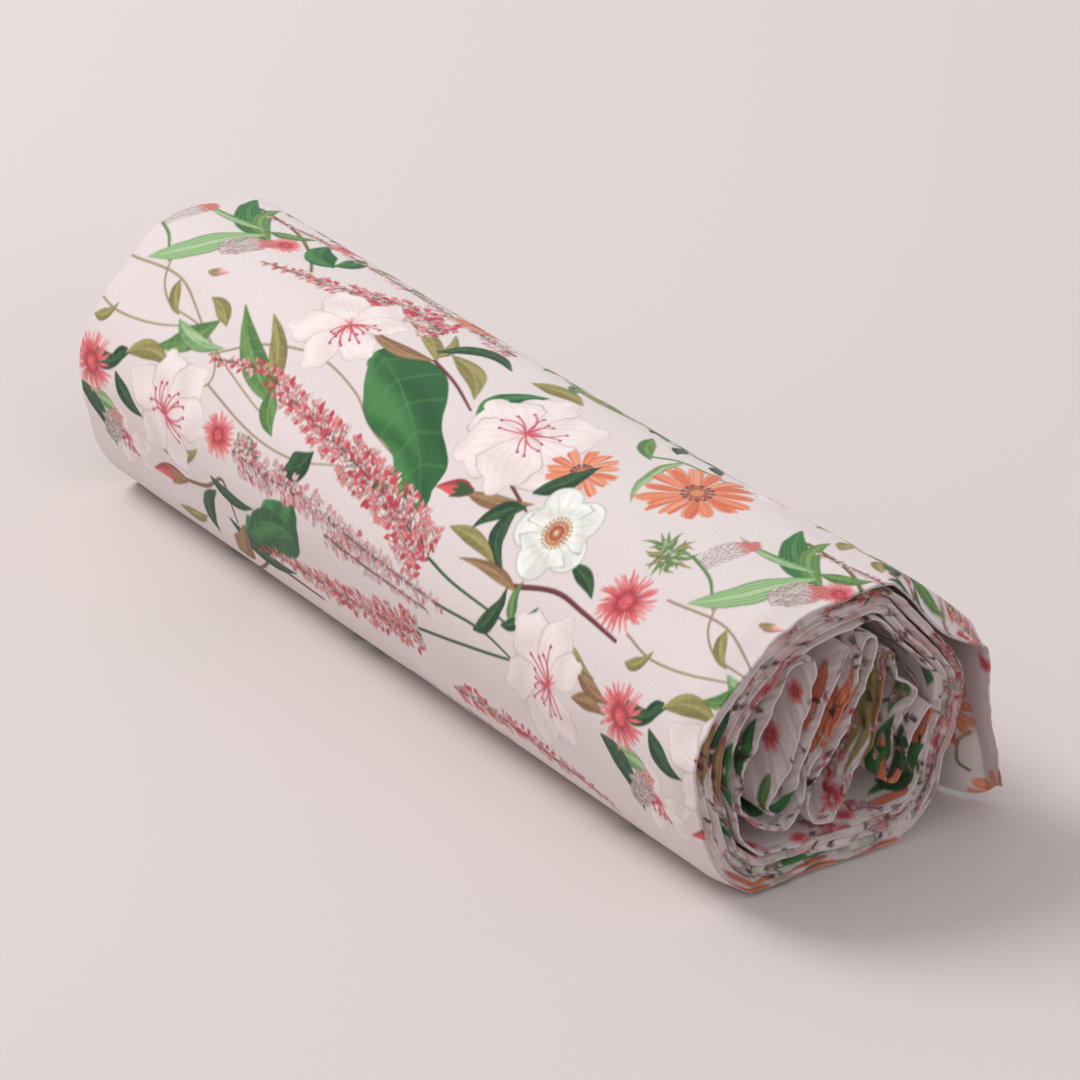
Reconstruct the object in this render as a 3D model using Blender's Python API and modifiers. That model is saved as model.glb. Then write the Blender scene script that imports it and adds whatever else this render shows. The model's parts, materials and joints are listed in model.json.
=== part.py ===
"""A coreless roll of printed quilting cotton, with its loose end hanging down one side.

The cloth was folded once, selvage to selvage, so both of its plies run together through the whole roll.
Starting from the hem of the loose end, the doubled cloth goes up the drop, over a crease, meets the roll near
its top, winds inwards for almost five turns, and ends in a flattened bundle of folds. Each turn and each fold
of that one path is a ribbon of its own here, and so are the two stretches of the loose end, which move.

+X runs along the roll, towards the end where the folded edge shows. +Z is up. The origin is the centre of the
bottom of the bounding box, and the roll's flattened underside lies at z = 0.
"""

import math

import bmesh
import bpy
from mathutils import Vector
from mathutils.geometry import interpolate_bezier, intersect_point_line

MM = 0.001
ROLL_LENGTH = 0.560  # half of a 1.12 m wide cotton, folded selvage to selvage
PLY_PAIR = 1.6 * MM  # the two plies, pressed together
STRETCH_GAP = 1.0 * MM  # between two stretches that follow each other along the cloth
LIFT_GAP = 1.6 * MM  # from the hinge line to the loose end, so that it clears the roll as it lifts
REST_DEPTH = 74.5 * MM  # from the winding centre down to the resting face
TURN_PITCH = 4.9 * MM  # mean distance between one turn and the next
PITCH_SLACK = 0.5 * MM  # the turns lie looser on the -Y side and tighter on the +Y side
LEAVES_AT = 62.0  # degrees from +Y towards +Z, where the loose end leaves the roll
TURNS = 4.82  # from there to the last bend before the folded core
BOTTOM_ANGLE = 270.0
TURN_STEP = 7 * MM  # spacing of the bends along a turn
FOLD_STEP = 3.5 * MM  # and along a fold
STRAIGHT = 0.001 * MM  # a bend that stands out of its neighbours' line by less than this is left out

# Radius of the outermost turn in mm, by angle in degrees from +Y towards +Z. The underside is cut flat.
OUTLINE = (
    (7, 88.5), (26, 82), (40, 79.3), (50, 81), (62, 84.6), (80, 79.3), (97, 77.8), (114, 78), (136, 77.2),
    (157, 82.2), (175, 86.3), (200, 86.2), (219, 90.6), (239, 91), (270, 88), (300, 88), (320, 92.4), (337, 85.8),
)

# The loose end in section, in mm from the winding centre, from the roll outwards and down.
LOOSE_TOP = ((39.4, 74.0), (50, 71), (61.5, 63.2), (77, 49.8), (91, 36.6), (97.3, 30.4), (99.2, 26.5))
LOOSE_DROP = ((99.2, 26.5), (99.5, 15), (99.8, 3), (102, -17.5), (105.3, -38), (109.3, -57), (111.3, -70.8))

# The folded core in section, in mm from the winding centre: one list for each fold, from the last turn inwards.
CORE_FOLDS = (
    ("corner_fold", ((64.5, -0.3), (61.5, -0.8), (57.5, -6), (53, -15), (49, -26), (46.2, -34), (42.5, -38),
                     (38.2, -36.5), (37.3, -31))),
    ("right_loop", ((38.5, -24), (40.5, -17), (43.5, -9.5), (47.5, -3), (52.8, 2.5), (55.2, 8.2), (52, 13.5),
                    (45.5, 18.5), (42.2, 26), (40.2, 32))),
    ("right_pass", ((38.6, 36.6), (36.2, 37.6), (34.6, 34.5), (34.8, 24), (35.2, 11), (33, 0.5), (27.5, -10.5),
                    (20.8, -21), (14.5, -31.5), (10.2, -40.5), (6, -46.3), (-0.5, -48))),
    ("middle_pass", ((-7, -45.6), (-9.8, -39), (-7.8, -29), (-2, -17), (5, -7.5), (12, 2), (18, 11),
                     (23.5, 21), (28, 31.5), (30.8, 40))),
    ("inner_pass", ((30, 46), (26, 48.3), (22.3, 45.3), (20.5, 37), (17.8, 26), (11.5, 14), (4, 3), (-4.5, -9.5),
                    (-11, -22), (-15.5, -33), (-20, -40.5), (-28, -43.3))),
    ("left_pass", ((-38.5, -38.5), (-48, -29.5), (-53.3, -18.5), (-50.5, -6.5), (-43.5, 6.5), (-37, 19),
                   (-32.3, 31), (-27, 39.5), (-18, 44.8))),
    ("down_pass", ((-10.5, 46.3), (-6.8, 43), (-8.7, 33), (-12.3, 20), (-16.5, 5.5), (-21.8, -9), (-29, -19.5),
                   (-34.8, -26.5), (-34.3, -32), (-28.3, -34))),
    ("cut_end", ((-22.3, -30.5), (-18.3, -20.5), (-13.5, -7), (-6.8, 6.5), (0.5, 18.5), (6.3, 29.5),
                 (10.5, 39), (14, 45.5))),
)


def clear_scene():
    for thing in list(bpy.data.objects):
        bpy.data.objects.remove(thing, do_unlink=True)


def section(points_mm):
    """Points of the section as vectors in metres: x along +Y, y along +Z, from the winding centre."""
    return [Vector((y, z)) * MM for y, z in points_mm]


def outline_radius(angle):
    """Radius of the outermost turn, a smooth periodic curve through OUTLINE."""
    around = [(a + 360 * k, r) for k in (-1, 0, 1) for a, r in OUTLINE]
    angle %= 360
    i = next(i for i, (a, _) in enumerate(around) if a > angle) - 1
    (a0, r0), (a1, r1), (a2, r2), (a3, r3) = around[i - 1:i + 3]
    share = (angle - a1) / (a2 - a1)
    slope1 = (r2 - r0) / (a2 - a0) * (a2 - a1)
    slope2 = (r3 - r1) / (a3 - a1) * (a2 - a1)
    cube, square = share**3, share**2
    radius = (
        (2 * cube - 3 * square + 1) * r1
        + (cube - 2 * square + share) * slope1
        + (3 * square - 2 * cube) * r2
        + (cube - square) * slope2
    )
    return radius * MM


def turn_point(angle):
    """Middle of the cloth at an angle counted on through the turns, with the underside flattened."""
    turn = (angle - LEAVES_AT) / 360
    pitch = TURN_PITCH - PITCH_SLACK * math.cos(math.radians(angle))
    radius = outline_radius(angle) - PLY_PAIR / 2 - turn * pitch
    y = radius * math.cos(math.radians(angle))
    z = radius * math.sin(math.radians(angle))
    passes_below = round(turn - (BOTTOM_ANGLE - LEAVES_AT) / 360)
    floor = PLY_PAIR / 2 - REST_DEPTH + TURN_PITCH * passes_below
    return Vector((y, max(z, floor)))


def smooth_through(points):
    """A closely spaced curve through the points, from Bezier pieces with Catmull-Rom handles."""
    padded = [2 * points[0] - points[1], *points, 2 * points[-1] - points[-2]]
    curve = [points[0]]
    for before, start, end, after in zip(padded, padded[1:], padded[2:], padded[3:]):
        piece = interpolate_bezier(start, start + (end - before) / 6, end - (after - start) / 6, end, 13)
        curve += piece[1:]
    return curve


def evenly_spaced(curve, spacing, gap_before, gap_after):
    """The curve cut short by a gap at each end, as points a spacing apart along it."""
    along = [0.0]
    for a, b in zip(curve, curve[1:]):
        along.append(along[-1] + (b - a).length)
    start, end = gap_before, along[-1] - gap_after
    count = max(2, round((end - start) / spacing))
    points = []
    i = 0
    for step in range(count + 1):
        wanted = start + (end - start) * step / count
        while i < len(curve) - 2 and along[i + 1] < wanted:
            i += 1
        share = (wanted - along[i]) / (along[i + 1] - along[i])
        points.append(curve[i].lerp(curve[i + 1], share))
    return without_straight_bends(points)


def without_straight_bends(points):
    """The same path with one straight run where several points follow each other in a line."""
    kept = [points[0]]
    for point, after in zip(points[1:], points[2:]):
        nearest, _ = intersect_point_line(point, kept[-1], after)
        if (nearest - point).length > STRAIGHT:
            kept.append(point)
    return [*kept, points[-1]]


def stretches():
    """(name, points along the stretch) for each stretch of cloth, from the hem inwards."""
    half_gap = STRETCH_GAP / 2
    found = [
        ("loose_end_drop", evenly_spaced(smooth_through(section(LOOSE_DROP)), TURN_STEP, half_gap, 0)),
        ("loose_end_top", evenly_spaced(smooth_through(section(LOOSE_TOP)), TURN_STEP, LIFT_GAP, half_gap)),
    ]
    whole_turns = math.ceil(TURNS)
    for number in range(whole_turns):
        first = LEAVES_AT + 360 * number
        last = LEAVES_AT + 360 * min(number + 1, TURNS)
        steps = 240
        curve = [turn_point(first + (last - first) * step / steps) for step in range(steps + 1)]
        found.append((f"turn_{number + 1}", evenly_spaced(curve, TURN_STEP, half_gap, half_gap)))
    core = [turn_point(LEAVES_AT + 360 * TURNS)]
    for _, points in CORE_FOLDS:
        core += section(points)
    whole = smooth_through(core)
    pieces_per_point = 12
    first = 0
    for name, points in CORE_FOLDS:
        last = first + len(points) * pieces_per_point
        gap_after = 0 if name == CORE_FOLDS[-1][0] else half_gap
        found.append((name, evenly_spaced(whole[first:last + 1], FOLD_STEP, half_gap, gap_after)))
        first = last
    return found


def cotton(name, colour):
    material = bpy.data.materials.new(name)
    material.use_nodes = True
    shader = material.node_tree.nodes["Principled BSDF"]
    shader.inputs["Base Color"].default_value = (*colour, 1)
    shader.inputs["Roughness"].default_value = 0.85
    shader.inputs["Metallic"].default_value = 0
    return material


def ribbon(name, points, pivot, centre, material, collection):
    """One stretch: its section drawn out along the roll as an open sheet, then given the cloth's thickness."""
    sheet = bmesh.new()
    near = []
    for point in points:
        place = Vector((-ROLL_LENGTH / 2, point.x + centre.x, point.y + centre.y)) - pivot
        near.append(sheet.verts.new(place))
    edges = [sheet.edges.new(pair) for pair in zip(near, near[1:])]
    drawn = bmesh.ops.extrude_edge_only(sheet, edges=edges)["geom"]
    far = [part for part in drawn if isinstance(part, bmesh.types.BMVert)]
    bmesh.ops.translate(sheet, verts=far, vec=(ROLL_LENGTH, 0, 0))
    bmesh.ops.recalc_face_normals(sheet, faces=sheet.faces)
    mesh = bpy.data.meshes.new(name)
    sheet.to_mesh(mesh)
    sheet.free()
    mesh.materials.append(material)
    stretch = bpy.data.objects.new(name, mesh)
    stretch.location = pivot
    collection.objects.link(stretch)
    thickness = stretch.modifiers.new("cloth", "SOLIDIFY")
    thickness.thickness = PLY_PAIR
    thickness.offset = 0
    thickness.use_even_offset = True
    return stretch


def main():
    clear_scene()
    collection = bpy.data.collections.new("fabric_bolt")
    bpy.context.scene.collection.children.link(collection)
    face = cotton("printed_cotton", (0.80, 0.72, 0.71))
    inner = cotton("printed_cotton_inside", (0.62, 0.55, 0.55))

    parts = stretches()
    widths = [point.x for _, points in parts for point in points]
    middle = (min(widths) + max(widths)) / 2
    centre = Vector((-middle, REST_DEPTH))

    leaves_roll = section(LOOSE_TOP)[0] + centre
    crease = section(LOOSE_DROP)[0] + centre
    pivots = {
        "loose_end_top": Vector((0, leaves_roll.x, leaves_roll.y)),
        "loose_end_drop": Vector((0, crease.x, crease.y)),
    }
    core_names = [name for name, _ in CORE_FOLDS]
    for name, points in parts:
        material = inner if name in core_names else face
        ribbon(name, points, pivots.get(name, Vector()), centre, material, collection)


main()
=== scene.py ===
"""The roll of printed quilting cotton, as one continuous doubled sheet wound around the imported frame.

The cloth is 1.12 m wide and folded once, selvage to selvage, with its printed face outside. Everything is
worked out in the cloth's own two coordinates:
  along   metres from the hem of the loose end, through the turns, to the cut end in the core;
  across  metres from the folded edge: positive on the outer ply, negative on the inner one.
surface() turns them into a place, Print.colours_at() into a printed colour, and strip() into a piece of mesh.
"""

import json
import math

import bpy
import numpy as np
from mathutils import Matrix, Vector

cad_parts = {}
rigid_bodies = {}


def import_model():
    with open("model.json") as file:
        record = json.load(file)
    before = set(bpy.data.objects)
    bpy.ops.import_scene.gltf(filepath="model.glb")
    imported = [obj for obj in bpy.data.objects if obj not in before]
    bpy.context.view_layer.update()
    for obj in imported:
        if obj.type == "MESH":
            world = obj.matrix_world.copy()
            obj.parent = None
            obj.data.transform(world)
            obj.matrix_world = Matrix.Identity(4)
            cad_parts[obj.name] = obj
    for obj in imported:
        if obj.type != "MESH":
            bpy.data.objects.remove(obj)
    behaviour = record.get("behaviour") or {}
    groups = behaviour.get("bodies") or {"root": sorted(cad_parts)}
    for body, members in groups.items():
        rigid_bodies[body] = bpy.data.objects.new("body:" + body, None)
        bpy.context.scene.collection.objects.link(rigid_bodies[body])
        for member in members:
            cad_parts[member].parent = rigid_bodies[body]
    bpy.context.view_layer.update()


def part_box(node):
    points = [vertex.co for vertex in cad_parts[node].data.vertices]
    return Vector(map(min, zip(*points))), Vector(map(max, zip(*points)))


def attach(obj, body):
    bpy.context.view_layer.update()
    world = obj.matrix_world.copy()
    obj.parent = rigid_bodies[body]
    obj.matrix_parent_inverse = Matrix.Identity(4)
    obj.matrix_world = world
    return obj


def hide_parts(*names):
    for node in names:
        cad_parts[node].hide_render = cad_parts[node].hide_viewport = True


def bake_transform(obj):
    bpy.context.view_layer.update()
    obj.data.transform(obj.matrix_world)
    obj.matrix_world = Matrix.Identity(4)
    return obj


for thing in list(bpy.data.objects):
    bpy.data.objects.remove(thing, do_unlink=True)

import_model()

MM = 0.001

# The cloth in section, the same route as the CAD ribbons, in mm from the winding centre: +Y, then +Z.
REST_DEPTH = 74.5  # from the winding centre down to the resting face
PLY_PAIR = 1.6
TURN_PITCH = 4.9
PITCH_SLACK = 0.5
LEAVES_AT = 62.0  # degrees from +Y towards +Z, where the loose end leaves the roll
TURNS = 4.82
BOTTOM_ANGLE = 270.0
OUTLINE = (
    (7, 88.5), (26, 82), (40, 79.3), (50, 81), (62, 84.6), (80, 79.3), (97, 77.8), (114, 78), (136, 77.2),
    (157, 82.2), (175, 86.3), (200, 86.2), (219, 90.6), (239, 91), (270, 88), (300, 88), (320, 92.4),
    (337, 85.8),
)
LOOSE_TOP = ((39.4, 74.0), (50, 71), (61.5, 63.2), (77, 49.8), (91, 36.6), (97.3, 30.4), (99.2, 26.5))
LOOSE_DROP = ((99.2, 26.5), (99.5, 15), (99.8, 3), (102, -17.5), (105.3, -38), (109.3, -57), (111.3, -70.8))
CORE_FOLDS = (
    ("corner_fold", ((64.5, -0.3), (61.5, -0.8), (57.5, -6), (53, -15), (49, -26), (46.2, -34), (42.5, -38),
                     (38.2, -36.5), (37.3, -31))),
    ("right_loop", ((38.5, -24), (40.5, -17), (43.5, -9.5), (47.5, -3), (52.8, 2.5), (55.2, 8.2), (52, 13.5),
                    (45.5, 18.5), (42.2, 26), (40.2, 32))),
    ("right_pass", ((38.6, 36.6), (36.2, 37.6), (34.6, 34.5), (34.8, 24), (35.2, 11), (33, 0.5),
                    (27.5, -10.5), (20.8, -21), (14.5, -31.5), (10.2, -40.5), (6, -46.3), (-0.5, -48))),
    ("middle_pass", ((-7, -45.6), (-9.8, -39), (-7.8, -29), (-2, -17), (5, -7.5), (12, 2), (18, 11),
                     (23.5, 21), (28, 31.5), (30.8, 40))),
    ("inner_pass", ((30, 46), (26, 48.3), (22.3, 45.3), (20.5, 37), (17.8, 26), (11.5, 14), (4, 3),
                    (-4.5, -9.5), (-11, -22), (-15.5, -33), (-20, -40.5), (-28, -43.3))),
    ("left_pass", ((-38.5, -38.5), (-48, -29.5), (-53.3, -18.5), (-50.5, -6.5), (-43.5, 6.5), (-37, 19),
                   (-32.3, 31), (-27, 39.5), (-18, 44.8))),
    ("down_pass", ((-10.5, 46.3), (-6.8, 43), (-8.7, 33), (-12.3, 20), (-16.5, 5.5), (-21.8, -9),
                   (-29, -19.5), (-34.8, -26.5), (-34.3, -32), (-28.3, -34))),
    ("cut_end", ((-22.3, -30.5), (-18.3, -20.5), (-13.5, -7), (-6.8, 6.5), (0.5, 18.5), (6.3, 29.5),
                 (10.5, 39), (14, 45.5))),
)
# The loose end again at the folded edge, where it sags towards the roll and its corner is rounded off.
SAGGED_TOP = ((39.4, 74.0), (46.8, 66.3), (53.8, 58.0), (60.6, 49.0), (67.6, 40.8), (75, 34.4), (87.2, 27),
              (97.2, 21.6), (99, 18.6))
SAGGED_DROP = ((99, 18.6), (99.7, 10), (99.9, 2), (101.9, -17.5), (105.2, -38), (108.8, -54), (110.4, -61.5))
# And far from the folded edge, where it hugs the roll and hangs straighter down.
HUGGING_TOP = ((39.4, 74.0), (50, 66.3), (61, 56.8), (72, 45), (82, 31), (90, 16))
HUGGING_DROP = ((90, 16), (93.3, -2), (94.4, -20), (95, -38), (95.2, -56), (95.5, -72))
# Change of the roll's radius in mm towards its far end, by angle.
FAR_CHANGE = (
    (0, -1.5), (30, -4), (59, -4.6), (80, -1.2), (92, 0.9), (103, 2.6), (116, 3.6), (127, 0.8), (142, -1),
    (158, -2), (185, -4), (211, -3.6), (232, -1.8), (250, 0), (310, 0), (340, -0.5),
)


# ---------------------------------------------------------------- the route of the cloth in section

def smoothstep(t):
    t = np.clip(t, 0, 1)
    return t * t * (3 - 2 * t)


def smooth_through(points, pieces=12):
    """A closely spaced curve through the points, from Bezier pieces with Catmull-Rom handles."""
    points = np.array(points, float)
    padded = np.vstack([2 * points[0] - points[1], points, 2 * points[-1] - points[-2]])
    t = np.linspace(0, 1, pieces + 1)[1:, None]
    curve = [points[:1]]
    for before, start, end, after in zip(padded, padded[1:], padded[2:], padded[3:]):
        first, second = start + (end - before) / 6, end - (after - start) / 6
        curve.append(
            (1 - t)**3 * start + 3 * (1 - t)**2 * t * first + 3 * (1 - t) * t**2 * second + t**3 * end
        )
    return np.vstack(curve)


def lengths_along(curve):
    return np.r_[0, np.cumsum(np.linalg.norm(np.diff(curve, axis=0), axis=1))]


def outline_radius(angles):
    """Radius of the outermost turn, a smooth periodic curve through OUTLINE."""
    at = np.array([a + 360 * k for k in (-1, 0, 1) for a, _ in OUTLINE], float)
    radii = np.array([r for _, r in OUTLINE] * 3, float)
    angles = angles % 360
    i = np.searchsorted(at, angles, side="right") - 1
    span = at[i + 1] - at[i]
    share = (angles - at[i]) / span
    slope1 = (radii[i + 1] - radii[i - 1]) / (at[i + 1] - at[i - 1]) * span
    slope2 = (radii[i + 2] - radii[i]) / (at[i + 2] - at[i]) * span
    cube, square = share**3, share**2
    return (
        (2 * cube - 3 * square + 1) * radii[i]
        + (cube - 2 * square + share) * slope1
        + (3 * square - 2 * cube) * radii[i + 1]
        + (cube - square) * slope2
    )


def turn_points(angles):
    """Middle of the cloth at angles counted on through the turns, with the underside flattened."""
    turn = (angles - LEAVES_AT) / 360
    pitch = TURN_PITCH - PITCH_SLACK * np.cos(np.radians(angles))
    radius = outline_radius(angles) - PLY_PAIR / 2 - turn * pitch
    y = radius * np.cos(np.radians(angles))
    z = radius * np.sin(np.radians(angles))
    floor = PLY_PAIR / 2 - REST_DEPTH + TURN_PITCH * np.round(turn - (BOTTOM_ANGLE - LEAVES_AT) / 360)
    return np.stack([y, np.maximum(z, floor)], axis=1)


def smoothed(values, sigma):
    """Values along a line, averaged over neighbours with a bell curve; the ends stay where they are."""
    reach = int(3 * sigma)
    bell = np.exp(-0.5 * (np.arange(-reach, reach + 1) / sigma)**2)
    padded = np.pad(values, (reach, reach), mode="reflect", reflect_type="odd")
    return np.convolve(padded, bell / bell.sum(), mode="valid")


class Route:
    """The cloth's middle line, evenly sampled, with the place along it where each stretch begins."""

    STEP = 0.5 * MM
    CORNER = 1.6 * MM  # how far a sharp bend is rounded

    def __init__(self):
        self.starts = {"loose_end_drop": 0.0}
        curve = smooth_through(LOOSE_DROP)[::-1]
        self.starts["loose_end_top"] = lengths_along(curve)[-1] * MM
        curve = np.vstack([curve, smooth_through(LOOSE_TOP)[::-1][1:]])
        leaves = lengths_along(curve)[-1]
        angles = np.arange(LEAVES_AT, LEAVES_AT + 360 * TURNS, 0.5)
        turns = turn_points(angles)
        along = leaves + lengths_along(turns)
        for number in range(math.ceil(TURNS)):
            self.starts[f"turn_{number + 1}"] = np.interp(LEAVES_AT + 360 * number, angles, along) * MM
        self.turn_angles, self.turn_along = angles, along * MM
        core = [turns[-1]]
        for _, points in CORE_FOLDS:
            core += points
        core = smooth_through(core)
        core_along = along[-1] + lengths_along(core)
        first = 0
        for name, points in CORE_FOLDS:
            self.starts[name] = core_along[first] * MM
            first += 12 * len(points)
        curve = np.vstack([curve, turns[1:], core[1:]]) * MM
        curve += (CENTRE_Y, CENTRE_Z)
        exact = lengths_along(curve)
        self.length = exact[-1]
        self.at = np.arange(0, self.length + self.STEP / 2, self.STEP)
        even = [np.interp(self.at, exact, curve[:, k]) for k in (0, 1)]
        self.y, self.z = (smoothed(values, self.CORNER / self.STEP) for values in even)
        self.sections = {
            "plain": (self.y, self.z),
            "sagged": self._with_loose_end(SAGGED_TOP, SAGGED_DROP),
            "hugging": self._with_loose_end(HUGGING_TOP, HUGGING_DROP),
        }

    def _with_loose_end(self, top, drop):
        """The route with another course for the loose end, and the rest as it is."""
        crease, leaves = self.starts["loose_end_top"], self.starts["turn_1"]
        drop = smooth_through(drop)[::-1] * MM + (CENTRE_Y, CENTRE_Z)
        top = smooth_through(top)[::-1] * MM + (CENTRE_Y, CENTRE_Z)
        drop_at = lengths_along(drop)
        top_at = lengths_along(top)
        places = np.r_[drop_at / drop_at[-1] * crease, crease + top_at[1:] / top_at[-1] * (leaves - crease)]
        curve = np.vstack([drop, top[1:]])
        loose = self.at < leaves
        found = []
        for k, everywhere in ((0, self.y), (1, self.z)):
            values = everywhere.copy()
            values[loose] = np.interp(self.at[loose], places, curve[:, k])
            joined = smoothed(values, self.CORNER / self.STEP)
            found.append(np.where(self.at < leaves + 3 * self.CORNER, joined, everywhere))
        return found

    def middle(self, along, sag=0.0, hug=0.0):
        """(y, z) of the middle line, and its unit normal, which points away from the roll."""
        place, ahead = [0, 0], [0, 0]
        for name, share in (("sagged", sag), ("hugging", (1 - sag) * hug), ("plain", (1 - sag) * (1 - hug))):
            for k, line in enumerate(self.sections[name]):
                place[k] = place[k] + share * np.interp(along, self.at, line)
                ahead[k] = ahead[k] + share * np.interp(along, self.at, np.gradient(line, self.STEP))
        size = np.hypot(*ahead)
        return place[0], place[1], ahead[1] / size, -ahead[0] / size

    def end_of(self, name):
        later = [start for start in self.starts.values() if start > self.starts[name] + 1e-6]
        return min(later, default=self.length)


# Where the winding centre is in the shared frame: the resting face is at z = 0, and the hem reaches
# furthest out.
CENTRE_Z = REST_DEPTH * MM
CENTRE_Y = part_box("loose_end_drop")[1].y - (LOOSE_DROP[-1][0] + PLY_PAIR / 2) * MM
FAR_END, NEAR_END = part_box("turn_1")[0].x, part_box("turn_1")[1].x
HALF_WIDTH = NEAR_END - FAR_END  # the folded cloth is half as wide as the flat one
route = Route()
LEAVES_ROLL = route.starts["turn_1"]


# ---------------------------------------------------------------- the surface of the cloth

FOLD_HALF = 0.75 * MM  # half the thickness of the doubled cloth at its folded edge
CUT_HALF = 0.25 * MM  # and at the hem and the cut end, where the plies lie flat on each other
FOLD_DEPTH = 5.5 * MM  # how far behind the folded edge the plies fill the room between two turns
EDGE_CURL, CURL_REACH = 2.9 * MM, 19 * MM  # how far a turn's folded edge curls inwards, and how far back
WAVER_REACH = 18 * MM  # how far back from the folded edge the crumpling of the turns and the core fades
BULGE, BULGE_WIDTH, BULGE_REACH = 2.9 * MM, 52 * MM, 25 * MM  # where the first turn lifts off the second
SAG_REACH = 15 * MM  # how far back from the folded edge the loose end sags
CORE_TWIST = math.radians(50)  # how far the core turns around its own middle, deep inside the roll
CORE_SWAY = 10 * MM  # how far its folds wave from side to side there
SWAY_ACROSS, SWAY_ALONG = 90 * MM, 180 * MM  # wavelengths of that, in the section and along the roll
FAR_CHANGE_STARTS, FAR_CHANGE_SPAN = 0.25, 0.53  # x where FAR_CHANGE sets in, and how far it goes on growing
MEAN_RADIUS = 85  # in mm, which FAR_CHANGE is measured against


def ripple(t, wavelength, seed):
    """A smooth, irregular wave between about -1 and 1 along t, the same on each run."""
    turn = 2 * np.pi * np.asarray(t) / wavelength
    return (
        np.sin(turn + 1.7 * seed)
        + 0.6 * np.sin(1.83 * turn + 2.9 * seed + 1)
        + 0.4 * np.sin(3.17 * turn + 4.1 * seed + 2)
    ) / 1.6


def spare_room(along):
    """Free distance from one turn to the next, which the soft plies fill behind their folded edge."""
    angle = np.interp(along, route.turn_along, route.turn_angles)
    pitch = (TURN_PITCH - PITCH_SLACK * np.cos(np.radians(angle))) * MM
    wound = smoothstep((along - LEAVES_ROLL) / 0.02)
    before_last_turn = 1 - smoothstep((along - route.starts["turn_5"] + 0.1) / 0.1)
    return (pitch - 2 * FOLD_HALF) * (wound * before_last_turn)


def far_change(y, z, x):
    """How much the roll's section swells at a place, as a share of the distance from the centre."""
    angle = np.degrees(np.arctan2(z - CENTRE_Z, y - CENTRE_Y)) % 360
    angles, changes = np.array(FAR_CHANGE + ((360, FAR_CHANGE[0][1]),)).T
    shifts = (-8, -4, 0, 4, 8)
    change = sum(np.interp((angle + shift) % 360, angles, changes) for shift in shifts) / len(shifts)
    return change / MEAN_RADIUS * np.clip((FAR_CHANGE_STARTS - x) / FAR_CHANGE_SPAN, 0, 1)**1.2


def core_crumple(y, z, x):
    """(y, z) of a place, from the roll's axis, moved so that no pocket of the core runs straight through."""
    from_end = np.minimum(NEAR_END - x, x - FAR_END)
    deep = smoothstep((from_end - 30 * MM) / (190 * MM))
    twist = CORE_TWIST * deep * (1 - smoothstep((np.hypot(y, z) - 15 * MM) / (52 * MM)))
    y, z = y * np.cos(twist) - z * np.sin(twist), y * np.sin(twist) + z * np.cos(twist)
    most = CORE_SWAY * smoothstep((from_end - 25 * MM) / (90 * MM))

    def sway(other, wavelength, phase):
        inside = 1 - smoothstep((np.hypot(y, z) - 44 * MM) / (22 * MM))
        return most * inside * np.sin(2 * np.pi * (other / SWAY_ACROSS + x / wavelength) + phase)

    y = y + sway(z, SWAY_ALONG, 0)
    z = z + sway(y, 1.37 * SWAY_ALONG, 1)
    return y, z


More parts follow.
